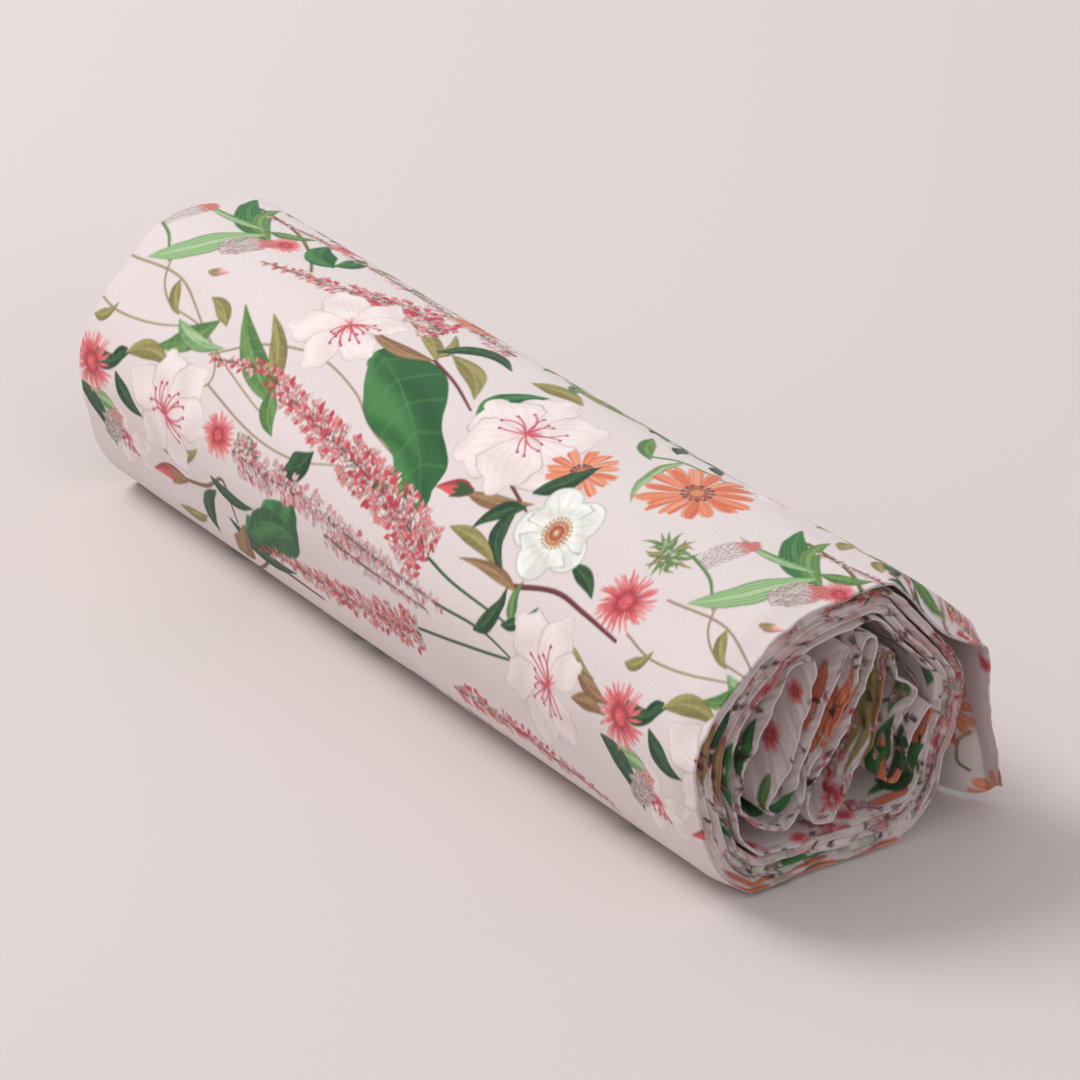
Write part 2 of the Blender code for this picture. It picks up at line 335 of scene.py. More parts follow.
def surface(along, across):
    """Places of the cloth's outer faces, for a column of places along it and a row of places across it."""
    along = np.asarray(along, float)[:, None]
    across = np.asarray(across, float)[None, :]
    from_edge, outer = np.abs(across), across >= 0
    to_cut = np.minimum(along, route.length - along)
    half = CUT_HALF + (FOLD_HALF - CUT_HALF) * smoothstep(to_cut / (8 * MM))
    bend = np.minimum(from_edge / half, np.pi / 2)
    straight = np.maximum(from_edge - half * np.pi / 2, 0)
    depth = half * (1 - np.cos(bend)) + straight
    offset = half * np.sin(bend)
    on_roll = smoothstep((along - LEAVES_ROLL) / (40 * MM))
    in_core = smoothstep((along - route.starts["corner_fold"]) / (60 * MM))
    second_on = smoothstep((along - route.starts["turn_2"] + 5 * MM) / (30 * MM))

    # Behind the folded edge the plies puff out and close the space between one turn and the next.
    room = spare_room(along)
    puff = smoothstep((depth - 0.3 * MM) / (FOLD_DEPTH * (1 + 0.5 * ripple(along, 0.061, 4))))
    slack = (0.35 + 0.3 * ripple(along, 0.09, 3)) * MM * (1 - second_on)
    offset = np.where(outer, offset + 0.38 * room * second_on * puff, offset + (0.58 * room + slack) * puff)
    offset = np.where(outer, offset, -offset)

    # The edge of each turn curls inwards and wavers, in and out and along the roll. The core is more
    # crumpled, and the first turn lifts off the second one where the loose end leaves.
    turns_in = np.clip((along - LEAVES_ROLL) / (0.45 * route.length), 0, 1)
    curl = -EDGE_CURL * (1 - 0.75 * turns_in) * on_roll * (1 - in_core) * (1 - smoothstep(depth / CURL_REACH))
    fade = np.exp(-depth / WAVER_REACH) * on_roll
    crumple = 0.55 * in_core * ripple(along + 0.8 * depth, 0.019, 9)
    waver = MM * fade * (0.40 * ripple(along, 0.037, 1) + crumple)
    from_bulge = along - route.starts["turn_2"] + 32 * MM
    waver = waver + BULGE * np.exp(-(from_bulge / BULGE_WIDTH)**2 - depth / BULGE_REACH)
    edge = NEAR_END - (1.3 + 0.9 * ripple(along, 0.083, 2) + 0.5 * ripple(along, 0.031, 7)) * MM
    edge = edge - (1.8 + 1.2 * ripple(along, 0.052, 5)) * MM * in_core

    # The outermost turn isn't quite smooth, and the loose end hangs in soft waves.
    first_turn = on_roll * (1 - second_on)
    x = edge - depth
    swell = 0.35 * MM * first_turn * ripple(along + 0.35 * x, 0.12, 5) * ripple(x - 0.2 * along, 0.21, 6)
    hanging = smoothstep((LEAVES_ROLL - along) / (110 * MM))
    wave = 1.2 * MM * hanging * ripple(x + 0.15 * along, 0.23, 8) * smoothstep(depth / (70 * MM))

    # At its folded edge the loose end sags, and a little further back it hugs the roll.
    sag = (1 - smoothstep((depth - 1 * MM) / SAG_REACH)) + 0 * along
    below_crease = smoothstep((route.starts["loose_end_top"] - along) / (70 * MM))
    hug_start = (30 - 18 * below_crease) * MM
    hug_reach = (150 - 138 * below_crease) * MM
    hug = 1 - np.exp(-np.maximum(depth - hug_start, 0) / hug_reach)
    y, z, normal_y, normal_z = route.middle(along + 0 * across, sag, hug)
    out = offset + waver + swell + wave + curl
    y, z = y + out * normal_y, z + out * normal_z
    change = 1 + far_change(y, z, x)
    y, z = core_crumple(y - CENTRE_Y, z - CENTRE_Z, x)
    return np.stack([x + 0 * y, CENTRE_Y + change * y, CENTRE_Z + change * z], axis=-1)


def normals(along, across):
    """Unit normals of surface(), pointing out of the doubled cloth."""
    small = 0.15 * MM
    forward = surface(along + small, across) - surface(along - small, across)
    sideways = surface(along, across + small) - surface(along, across - small)
    found = np.cross(sideways, forward)
    return found / np.maximum(np.linalg.norm(found, axis=-1, keepdims=True), 1e-12)


def strip(name, along, across, material):
    """One stretch of the cloth as a grid of quads, with its printed colours and thread coordinates."""
    across = np.sort(across)[::-1]
    places = surface(along, across)
    rows, columns = places.shape[:2]
    corner = np.arange(rows * columns).reshape(rows, columns)
    quads = np.stack([corner[:-1, :-1], corner[1:, :-1], corner[1:, 1:], corner[:-1, 1:]], axis=-1)
    quads = quads.reshape(-1, 4)
    mesh = bpy.data.meshes.new(name)
    mesh.vertices.add(rows * columns)
    mesh.vertices.foreach_set("co", places.astype(np.float32).ravel())
    mesh.loops.add(quads.size)
    mesh.loops.foreach_set("vertex_index", quads.astype(np.int32).ravel())
    mesh.polygons.add(len(quads))
    mesh.polygons.foreach_set("loop_start", np.arange(0, quads.size, 4, dtype=np.int32))
    mesh.update(calc_edges=True)
    mesh.shade_smooth()
    mesh.normals_split_custom_set_from_vertices(normals(along, across).reshape(-1, 3))

    width_way = HALF_WIDTH - across[None, :] + 0 * along[:, None]
    length_way = along[:, None] + 0 * across[None, :]
    colours = np.ones((rows * columns, 4), np.float32)
    colours[:, :3] = cotton_print.colours_at(width_way.ravel(), length_way.ravel())
    mesh.attributes.new("print", "FLOAT_COLOR", "POINT").data.foreach_set("color", colours.ravel())
    threads = np.stack([width_way, length_way, 0 * width_way], axis=-1)
    mesh.attributes.new("threads", "FLOAT_VECTOR", "POINT").data.foreach_set(
        "vector", threads.astype(np.float32).ravel()
    )
    mesh.materials.append(material)
    piece = bpy.data.objects.new(name, mesh)
    bpy.context.scene.collection.objects.link(piece)
    return piece


# ---------------------------------------------------------------- the print

def srgb(red, green, blue):
    return np.array([red, green, blue], np.float32) / 255


GROUND = srgb(229, 218, 216)
WHITE = srgb(250, 249, 244)
INK = srgb(92, 62, 60)
MAROON = srgb(128, 62, 70)
TWIG = srgb(150, 112, 84)
VINE = srgb(186, 160, 124)
GREENS = {  # lit side, shaded side, veins
    "deep": (srgb(74, 136, 76), srgb(38, 88, 52), srgb(104, 156, 96)),
    "dark": (srgb(58, 96, 60), srgb(36, 66, 46), srgb(104, 140, 100)),
    "green": (srgb(112, 152, 86), srgb(78, 120, 66), srgb(170, 196, 136)),
    "light": (srgb(170, 202, 150), srgb(104, 150, 92), srgb(208, 226, 190)),
    "olive": (srgb(166, 156, 96), srgb(132, 122, 72), srgb(200, 192, 140)),
    "brown": (srgb(168, 132, 96), srgb(134, 98, 70), srgb(200, 170, 130)),
}
CORAL = (srgb(222, 96, 98), srgb(238, 132, 126), srgb(206, 72, 84), srgb(246, 176, 168))
PINKS = (srgb(242, 138, 138), srgb(246, 164, 160), srgb(236, 116, 120))
SPIKE_REDS = (srgb(214, 78, 88), srgb(196, 62, 78), srgb(236, 140, 140), srgb(244, 200, 196),
              srgb(248, 224, 220), srgb(232, 160, 160))
SPIKE_PALES = (srgb(222, 150, 158), srgb(206, 110, 126), srgb(232, 190, 192), srgb(246, 222, 220),
               srgb(250, 236, 232), srgb(226, 186, 190))
ORANGES = (srgb(242, 152, 116), srgb(226, 120, 88), srgb(247, 172, 140))


class Print:
    """The printed pattern, painted in mm of flat cloth: across from the far selvage, along from the hem.

    One layer is the repeat, which fills the whole cloth, each time shifted by half its width, as textile
    designs usually are. The other is a strip on both sides of the fold, which shows at the roll's near end.
    """

    WIDTH, LENGTH = 487.8, 274.8
    STRIP_LEFT, STRIP_WIDTH = 490.0, 140.0
    STRIP_ON_ROLL, STRIP_ELSEWHERE = 24, 66  # how far from the fold the strip shows on the turns, and beyond
    STRIP_FADE = 10  # over what distance it gives way to the repeat
    STEP = 0.3

    def __init__(self):
        self.random = np.random.default_rng(11)
        self.rows, self.columns = round(self.LENGTH / self.STEP), round(self.WIDTH / self.STEP)
        self.repeat = np.tile(GROUND, (self.rows, self.columns, 1)).astype(np.float32)
        self.strip = None
        self.colour = self.repeat

    def start_strip(self):
        """From here on motifs are painted on the strip at the fold, over a faded copy of the repeat."""
        rows, columns = round(route.length / MM / self.STEP) + 8, round(self.STRIP_WIDTH / self.STEP)
        y, x = np.mgrid[0:rows, 0:columns]
        row, column = self.wrapped(y, x + round(self.STRIP_LEFT / self.STEP))
        self.strip = self.repeat[row, column]
        along, across = y * self.STEP, x * self.STEP
        wound = (along > LEAVES_ROLL / MM) & (along < route.starts["turn_5"] / MM)
        outer_face_of_loose_end = (along < LEAVES_ROLL / MM) & (across < HALF_WIDTH / MM - self.STRIP_LEFT)
        keep = np.where(wound, 0.3, np.where(outer_face_of_loose_end, 1.0, 0.0))[..., None]
        self.strip = (GROUND + (self.strip - GROUND) * keep).astype(np.float32)
        self.colour = self.strip

    def soften(self):
        """Average each place with its neighbours, so that fine lines stay even on a coarser mesh."""
        half = self.columns // 2
        for _ in range(2):
            now = self.colour
            above, below = now[:1], now[-1:]
            if now is self.repeat:
                above, below = np.roll(now[-1:], half, axis=1), np.roll(now[:1], -half, axis=1)
            padded = np.vstack([above, now, below])
            now[:] = 0.5 * now + 0.25 * (padded[:-2] + padded[2:])
            now[:] = 0.5 * now + 0.25 * (np.roll(now, 1, axis=1) + np.roll(now, -1, axis=1))

    def wrapped(self, row, column):
        """The place in the repeat for any row and column of the endless pattern."""
        repeat = np.floor_divide(row, self.rows)
        return row - repeat * self.rows, (column + repeat * (self.columns // 2)) % self.columns

    def in_layer(self, row, column):
        """The place in the layer that is being painted, and whether it lies on it at all."""
        if self.colour is self.repeat:
            return *self.wrapped(row, column), np.ones(len(row), bool)
        column = column - round(self.STRIP_LEFT / self.STEP)
        inside = (row >= 0) & (row < len(self.strip)) & (column >= 0) & (column < self.strip.shape[1])
        return row, column, inside

    def colours_at(self, across, along):
        """Linear colours at places on the cloth, in metres from the far selvage and from the hem."""
        across, along = across / MM, along / MM
        from_fold = np.abs(across - HALF_WIDTH / MM)
        wound = (along > LEAVES_ROLL / MM) & (along < route.starts["turn_5"] / MM)
        reach = np.where(wound, self.STRIP_ON_ROLL, self.STRIP_ELSEWHERE)
        share = smoothstep((reach - from_fold) / self.STRIP_FADE)
        outermost_face = wound & (across < HALF_WIDTH / MM) & (along < route.starts["turn_2"] / MM)
        share = np.where(outermost_face, 0, share)
        found = 0
        for step_down in (0, 1):
            for step_right in (0, 1):
                row, column = along / self.STEP, across / self.STEP
                r, c = np.floor(row).astype(int) + step_down, np.floor(column).astype(int) + step_right
                weight = (1 - np.abs(row - r)) * (1 - np.abs(column - c))
                plain = self.repeat[self.wrapped(r, c)]
                c = np.clip(c - round(self.STRIP_LEFT / self.STEP), 0, self.strip.shape[1] - 1)
                edge = self.strip[np.clip(r, 0, len(self.strip) - 1), c]
                found = found + mix(plain, edge, share) * weight[:, None]
        # Painted shade along the folded edge: the colour darkens by up to 15 percent within about 1.5 mm of
        # the fold, which dims the rims of the turns.
        found = found * (1 - 0.15 * np.exp(-(from_fold / 1.5)**2))[:, None]
        return np.where(found <= 0.04045, found / 12.92, ((found + 0.055) / 1.055)**2.4)

    def lay(self, points, widths, shade, soft=0.35, strength=1.0):
        """Paint a tapering shape along a curve through points in mm. widths are half widths, evenly spaced
        from its start to its end. shade gives colours from the share along it and the share across it."""
        curve = smooth_through(points, 6)
        widths = np.array(widths, float)
        if len(widths) > 4:
            widths = np.maximum(smooth_through(np.stack([0 * widths, widths], axis=1), 5)[:, 1], 0.05)
        reach = widths.max() + soft + 0.3
        low = np.floor((curve.min(axis=0) - reach) / self.STEP).astype(int)
        high = np.ceil((curve.max(axis=0) + reach) / self.STEP).astype(int) + 1
        x, y = np.meshgrid(np.arange(low[0], high[0]), np.arange(low[1], high[1]))
        place = np.stack([x.ravel(), y.ravel()], axis=1) * self.STEP
        legs = np.diff(curve, axis=0)
        leg_sizes = np.maximum((legs**2).sum(axis=1), 1e-9)
        done = np.r_[0, np.cumsum(np.sqrt(leg_sizes))]
        best = np.full(len(place), np.inf)
        share = np.zeros(len(place))
        side = np.zeros(len(place))
        for start, leg, size, before in zip(curve, legs, leg_sizes, done):
            off = place - start
            t = np.clip(off @ leg / size, 0, 1)
            gap = off - t[:, None] * leg
            distance = (gap**2).sum(axis=1)
            nearer = distance < best
            best = np.where(nearer, distance, best)
            share = np.where(nearer, (before + t * np.sqrt(size)) / done[-1], share)
            side = np.where(nearer, np.sign(leg[0] * off[:, 1] - leg[1] * off[:, 0]), side)
        distance = np.sqrt(best)
        half = np.interp(share, np.linspace(0, 1, len(widths)), widths)
        cover = np.clip((half - distance) / soft + 0.5, 0, 1) * strength
        used = cover > 0
        if not used.any():
            return
        colours = shade(share[used], side[used] * distance[used] / np.maximum(half[used], 0.05))
        rows, columns, inside = self.in_layer(y.ravel()[used], x.ravel()[used])
        rows, columns = rows[inside], columns[inside]
        under = self.colour[rows, columns]
        self.colour[rows, columns] = under + (colours[inside] - under) * cover[used][inside, None]


def lay(points, widths, shade, **how):
    """Paint one shape on the cloth's print."""
    cotton_print.lay(points, widths, shade, **how)


def mix(a, b, share):
    share = np.asarray(share, np.float32)[..., None]
    return a + (b - a) * share


def dot(spot, radius, shade, length=0.1, **how):
    """A round dot, or a slightly longer one."""
    lay([spot, (spot[0] + length, spot[1])], (radius, radius), shade, **how)


def flat(colour, edge=0.0, dark=INK):
    """One colour, which darkens by edge towards the sides."""
    return lambda s, q: mix(colour, dark, edge * smoothstep((np.abs(q) - 0.4) / 0.6) + 0 * s)


def arc(start, end, bend):
    """Three points from start to end, the middle one pushed sideways by bend times the distance."""
    start, end = np.array(start, float), np.array(end, float)
    way = end - start
    return [start, (start + end) / 2 + bend * np.array([-way[1], way[0]]), end]


def curved(a, b, bend, count=5):
    """A smooth bow from a to b as several points."""
    p0, p1, p2 = arc(a, b, 2 * bend)
    t = np.linspace(0, 1, count)[:, None]
    return list((1 - t)**2 * p0 + 2 * t * (1 - t) * p1 + t**2 * p2)


LEAF = (0.15, 0.55, 0.85, 1.0, 0.97, 0.82, 0.6, 0.32, 0.05)
WAVY_LEAF = (0.3, 0.72, 0.7, 0.66, 0.78, 0.95, 1.04, 0.98, 0.75, 0.4)
SLIM_LEAF = (0.25, 0.7, 0.95, 1.0, 0.9, 0.72, 0.5, 0.28, 0.04)
PETAL = (0.12, 0.32, 0.55, 0.76, 0.92, 1.0, 0.98, 0.82, 0.35)
ROUND_PETAL = (0.2, 0.4, 0.6, 0.8, 0.95, 1.02, 0.98, 0.85, 0.62)
NEEDLE = (0.5, 0.8, 1.0, 1.0, 0.85, 0.4)


def inked(colour, shaded, q, half_width):
    """The colour of a leaf, with a thin line of green ink along its outline."""
    ink = mix(shaded * 0.5, INK, 0.4)
    return mix(colour, ink, 0.85 * smoothstep(1 - (1 - np.abs(q)) * half_width / 0.55))


def leaf(base, tip, half_width, bend=0.1, kind="green", veins=7, outline=None):
    """A leaf from its stalk to its tip, lit on one side of its midrib, with side veins and an inked edge."""
    lit, shaded, vein = GREENS[kind]
    grain = cotton_print.random.uniform(0, 6)

    def shade(s, q):
        colour = mix(lit, shaded, smoothstep((q + 0.35) / 0.7) * 0.7)
        colour = mix(colour, shaded * 0.9, 0.5 * (0.5 + 0.5 * np.sin(9 * s + 5 * q + grain))**2)
        comb = np.abs(((s * veins + 0.45 * np.abs(q)) % 1) - 0.5) * 2
        colour = mix(colour, vein, 0.32 * smoothstep((comb - 0.8) / 0.2) * (np.abs(q) < 0.93))
        colour = mix(colour, vein, smoothstep(1 - np.abs(q) * half_width / 0.45) * (s < 0.95))
        return inked(colour, shaded, q, half_width)

    outline = outline or (LEAF if half_width > 4 else SLIM_LEAF)
    lay(curved(base, tip, bend), half_width * np.array(outline), shade)


def striped_leaf(base, tip, half_width, bend=0.1, kind="light"):
    """A long leaf with pale stripes running its whole length."""
    lit, shaded, vein = GREENS[kind]

    def shade(s, q):
        stripes = 0.5 + 0.5 * np.cos(2 * np.pi * (half_width / 2.4) * q)
        colour = mix(lit, shaded, 0.9 * stripes**2)
        colour = mix(colour, vein, 0.55 * smoothstep((0.25 - np.abs(q)) / 0.25))
        return inked(colour, shaded, q, half_width)

    lay(curved(base, tip, bend), half_width * np.array(LEAF), shade)


def stem(points, half_width=0.7, colour=TWIG, taper=0.6):
    """A twig or a vine, shaded on one side."""
    def shade(s, q):
        return mix(colour, colour * 0.5, 0.8 * smoothstep((np.abs(q + 0.25) - 0.2) / 0.7) + 0 * s)

    lay(points, np.array([1, 0.9, 0.8, taper]) * half_width, shade, soft=0.3)


def around(centre, degrees, radius, squash=1.0, lean=0.0):
    """A point at that angle and radius from centre, on a disc flattened by squash and turned by lean."""
    a = math.radians(degrees)
    x, y = radius * math.cos(a), radius * math.sin(a) * squash
    turn = math.radians(lean)
    return (
        centre[0] + x * math.cos(turn) - y * math.sin(turn),
        centre[1] + x * math.sin(turn) + y * math.cos(turn),
    )


def sprig(points, size, kind="green"):
    """A stem with leaves to its left and right by turns, and a small bud at its tip."""
    curve = smooth_through(points, 4)
    stem(points, 0.9, GREENS[kind][1])
    for number, (here, ahead) in enumerate(zip(curve[1::2], curve[2::2])):
        way = math.degrees(math.atan2(*(ahead - here)[::-1]))
        leaf(here, around(here, way + (50 if number % 2 else -50), size), 0.26 * size, 0.1, kind)
    bud(curve[-2], curve[-1], 2.2, CORAL[number % 4], kind)


def thistle(centre, radius, squash=0.95):
    """A round head of fine pink needles in two rings around a coral disc."""
    random = cotton_print.random
    for inner, outer, count, tone in ((0.3, 1.0, 36, 0.0), (0.25, 0.74, 26, 0.25)):
        for number in range(count):
            angle = 360 * (number + random.uniform(-0.3, 0.3)) / count
            tip = outer * random.uniform(0.84, 1.04)
            colour = mix(PINKS[random.integers(3)], CORAL[0], tone)
            dark = mix(colour, CORAL[2] * 0.8, 0.9)

            def shade(s, q, colour=colour, dark=dark):
                lit = mix(dark, colour, smoothstep(s * 1.5))
                return mix(lit, dark, 0.6 * smoothstep((np.abs(q) - 0.5) / 0.5))

            lay(
                arc(around(centre, angle, inner * radius, squash),
                    around(centre, angle + random.uniform(-5, 5), tip * radius, squash), 0.05),
                min(0.75, 0.04 * radius + 0.1) * np.array(NEEDLE), shade, soft=0.4,
            )
    dot(centre, 0.3 * radius, flat(PINKS[2], 0.9, CORAL[2] * 0.8))
    for _ in range(round(2.2 * radius)):
        spot = around(centre, random.uniform(0, 360), radius * 0.25 * math.sqrt(random.uniform(0, 1)), squash)
        dot(spot, 0.4, flat(CORAL[2], 0.3), 0.5, strength=0.6)


def daisy(centre, radius, squash=0.95, lean=0.0, petals=14):
    """Long orange petals with a ragged end, and a dark ring of dots around a sandy centre."""
    random = cotton_print.random
    for number in range(petals):
        angle = 360 * number / petals + random.uniform(-4, 4)
        size = radius * random.uniform(0.88, 1.04)
        for side in (-1, 1, 0):
            lit = ORANGES[random.integers(3)]

            def shade(s, q, lit=lit):
                colour = mix(lit, ORANGES[1], 0.35 * (0.5 + 0.5 * np.cos(q * 6)))
                colour = mix(colour, MAROON, 0.8 * smoothstep((0.2 - s) / 0.2))
                return mix(colour, ORANGES[1] * 0.8, 0.8 * smoothstep((np.abs(q) - 0.55) / 0.45))

            start = around(centre, angle + 2 * side, 0.18 * radius, squash, lean)
            end = around(centre, angle + 4.6 * side, size * random.uniform(0.86, 1.0), squash, lean)
            lay(arc(start, end, random.uniform(-0.02, 0.02)),
                radius * 0.062 * np.array((0.4, 0.65, 0.9, 1.05, 1.1, 1.0, 0.5)), shade)
    dot(centre, 0.17 * radius, flat(srgb(230, 150, 100), 0.5, INK))
    for ring, count, size, colour in (
        (0.27, 13, 0.9, INK), (0.14, 9, 0.5, srgb(150, 84, 58)), (0.06, 4, 0.45, srgb(190, 100, 60)),
    ):
        for number in range(count):
            spot = around(centre, 360 * number / count + 40 * ring, ring * radius, squash, lean)
            dot(spot, size, flat(colour), 0.2)


def broad_petal(base, tip, half_width, lit, edge, vein, bend=0.0, lines=9, outline=PETAL):
    """A broad soft petal with fine veins that fan out, and a thin inked edge."""
    grain = cotton_print.random.uniform(0, 6)

    def shade(s, q):
        fan = 0.5 + 0.5 * np.cos(np.pi * lines * q + 1.2 * np.sin(5 * s + grain))
        colour = mix(lit, vein, 0.30 * fan**3 * (1 - 0.6 * s) + 0.55 * smoothstep((0.3 - s) / 0.3))
        colour = mix(colour, edge, 0.35 * (0.5 + 0.5 * np.sin(7 * s + 2 * q + grain)) * smoothstep(s * 1.5))
        return mix(colour, edge * 0.86, 0.85 * smoothstep((np.abs(q) - 0.9) / 0.1))

    ruffle = 1 + 0.05 * np.sin(np.arange(len(outline)) * 2.3 + grain)
    lay(curved(base, tip, bend), half_width * np.array(outline) * ruffle, shade, soft=0.5)


def white_flower(centre, radius):
    """Five overlapping white petals around a sandy orange eye with a ring of stamens."""
    for angle in (20, 164, 308, 92, 236):
        broad_petal(around(centre, angle, 0.08 * radius), around(centre, angle, 0.56 * radius), 0.66 * radius,
                    WHITE, srgb(186, 190, 178), srgb(206, 210, 192), lines=6, outline=ROUND_PETAL)
        for lean in (-26, -9, 9, 26):
            lay(arc(around(centre, angle + lean, 0.4 * radius),
                    around(centre, angle + 1.2 * lean, 0.78 * radius), 0.08),
                (0.25, 0.3, 0.2), flat(srgb(178, 186, 170)), strength=0.5)
    for ring, count, colour, size in (
        (0.3, 22, srgb(206, 168, 110), 0.7), (0.22, 18, srgb(214, 130, 84), 0.9),
        (0.13, 12, srgb(186, 92, 62), 0.9),
    ):
        for number in range(count):
            spot = around(centre, 360 * number / count, ring * radius)
            lay([centre, spot], (0.2, size * 0.5), flat(colour), soft=0.4)
            dot(spot, size, flat(colour, 0.5), 0.3)
    dot(centre, 0.07 * radius, flat(srgb(232, 206, 150), 0.5))


def lily(centre, radius, petals, stamens, throat=(0, 0)):
    """Pale pink petals at the given angles and sizes, with a spray of red stamens over them."""
    random = cotton_print.random
    heart = (centre[0] + throat[0], centre[1] + throat[1])
    for angle, size, width in petals:
        broad_petal(heart, around(heart, angle, size * radius), width * radius, srgb(246, 236, 233),
                    srgb(212, 194, 192), srgb(232, 176, 180), random.uniform(-0.08, 0.08), 7)
    first, last = stamens
    for number in range(13):
        angle = first + (last - first) * number / 12 + random.uniform(-5, 5)
        tip = around(heart, angle, radius * random.uniform(0.3, 0.52))
        way = curved(heart, tip, random.uniform(-0.2, 0.2))
        lay(way, (0.35, 0.4, 0.35), flat(srgb(204, 74, 92), 0.3), soft=0.35)
        lay([tip, (tip[0] + 0.8, tip[1] + 0.4)], (0.7, 0.6), flat(srgb(168, 52, 66), 0.3))
    for number in range(7):
        tip = around(heart, random.uniform(0, 360), radius * 0.2)
        lay([heart, tip], (0.7, 0.2), flat(srgb(214, 96, 108), 0.2), strength=0.8)


def spike(points, start_width, end_width, palette=SPIKE_REDS, fullness=1.0):
    """A flower spike: hundreds of small florets crowded along a curve, from its thin tip to its full base."""
    random = cotton_print.random
    curve = smooth_through(points, 10)
    along = lengths_along(curve)
    lay(points, (0.4, 0.7), flat(TWIG, 0.4))
    place = 0.0
    while place < along[-1]:
        share = place / along[-1]
        half = start_width + (end_width - start_width) * share
        centre = np.array([np.interp(place, along, curve[:, k]) for k in (0, 1)])
        way = np.array([np.interp(place + 1, along, curve[:, k]) for k in (0, 1)]) - centre
        way /= max(np.linalg.norm(way), 1e-6)
        sideways = np.array([-way[1], way[0]])
        for lean in (-1, 1):
            twig = centre + (sideways * lean * random.uniform(0.2, 0.55) - way * 0.25) * half
            lay([centre, twig], (0.38, 0.3), flat(INK * 0.8), strength=0.75)
        for _ in range(max(1, round(fullness * half / 2.6))):
            off = half * random.uniform(-1, 1)
            spot = centre + sideways * off + way * random.uniform(-1.2, 1.2)
            facing = -way * 0.8 + sideways * off / max(half, 1) * 1.2
            floret(spot, facing, min(1.0, 0.45 + half / 12), palette)
        place += 1.9


def floret(spot, way, size, palette):
    """A tiny flower of the spike: a red bud in its dark calyx, or a few pale petals with inked edges."""
    random = cotton_print.random
    way = way / max(np.linalg.norm(way), 1e-6)
    sideways = np.array([-way[1], way[0]])
    calyx = spot - way * 1.3 * size
    dark = INK if random.uniform() < 0.6 else MAROON
    lay([calyx, spot], (0.35 * size, 0.75 * size), flat(dark), strength=0.8)
    if random.uniform() < 0.4:
        tip = spot + (way + sideways * random.uniform(-0.4, 0.4)) * size * random.uniform(3.4, 4.8)
        colour = palette[random.integers(3)]
        shape = np.array((0.7, 1.35, 1.6, 1.4, 0.9, 0.3)) * size
        lay([spot, tip], shape, flat(colour, 0.5, MAROON))
        return
    for lean in (-0.65, 0.05, 0.7):
        tip = spot + (way + sideways * (lean + random.uniform(-0.2, 0.2))) * size * random.uniform(2.2, 3.4)
        colour = palette[random.integers(2, len(palette))]
        lay([spot, tip], np.array((0.4, 1.0, 1.15, 1.0, 0.5)) * size, flat(colour, 0.75, INK))


def bud(base, tip, half_width, colour=CORAL[0], sepals="dark"):
    """A closed bud with its sepals at the base."""
    lay(curved(base, tip, 0.05), half_width * np.array((0.5, 0.9, 1.0, 0.8, 0.45, 0.1)),
        lambda s, q: mix(colour, colour * 0.72, smoothstep((q + 0.2) / 0.9) + 0 * s))
    way = (np.array(tip, float) - base) * 0.5
    for lean in (-0.35, 0.0, 0.35):
        end = np.array(base, float) + way + lean * np.array([-way[1], way[0]])
        lay([base, end], half_width * np.array((0.35, 0.4, 0.1)), flat(GREENS[sepals][0], 0.5))


def cone(base, tip, half_width, colour=srgb(226, 216, 216), cap=CORAL[1]):
    """A grey-pink cone of overlapping inked scales with a coloured tip."""
    random = cotton_print.random
    base, tip = np.array(base, float), np.array(tip, float)
    way = tip - base
    size = np.linalg.norm(way)
    sideways = np.array([-way[1], way[0]]) / size
    rows = max(5, round(size / 2.0))
    for row in range(rows, -1, -1):
        share = row / rows
        half = half_width * math.sin(math.pi * (0.18 + 0.7 * share))
        for k in (-0.8, -0.27, 0.27, 0.8) if row % 2 else (-1, -0.5, 0, 0.5, 1):
            spot = base + way * (share + random.uniform(-0.03, 0.03))
            spot = spot + sideways * half * (k + random.uniform(-0.1, 0.1))
            tone = mix(colour, WHITE, random.uniform(0, 0.6))
            tone = mix(tone, cap, 0.95 * smoothstep((share - 0.6) / 0.25))
            end = spot + way / size * random.uniform(2, 3.6) + sideways * (k + random.uniform(-0.6, 0.6))
            lay([spot, end], (1.15, 1.2, 0.4), flat(tone, 0.8, INK), soft=0.3)


def bracts(centre, radius):
    """Two fluffy green heads with narrow curling bracts."""
    random = cotton_print.random
    for number in range(22):
        angle = 360 * number / 22 + random.uniform(-9, 9)
        tip = around(centre, angle, radius * random.uniform(0.7, 1.2), 0.8)
        kind = "green" if random.uniform() < 0.6 else "olive"
        leaf(around(centre, angle, 0.15 * radius), tip, 1.3, random.uniform(-0.3, 0.3), kind, 3)
    for side in (-1, 1):
        head = (centre[0] + side * 0.22 * radius, centre[1] + side * 0.16 * radius)
        for _ in range(26):
            angle = random.uniform(0, 360)
            start = around(head, angle, 0.1 * radius)
            end = around(head, angle, radius * random.uniform(0.2, 0.42))
            lay([start, end], (0.7, 0.8, 0.3), flat(GREENS["light"][random.integers(3)], 0.8))


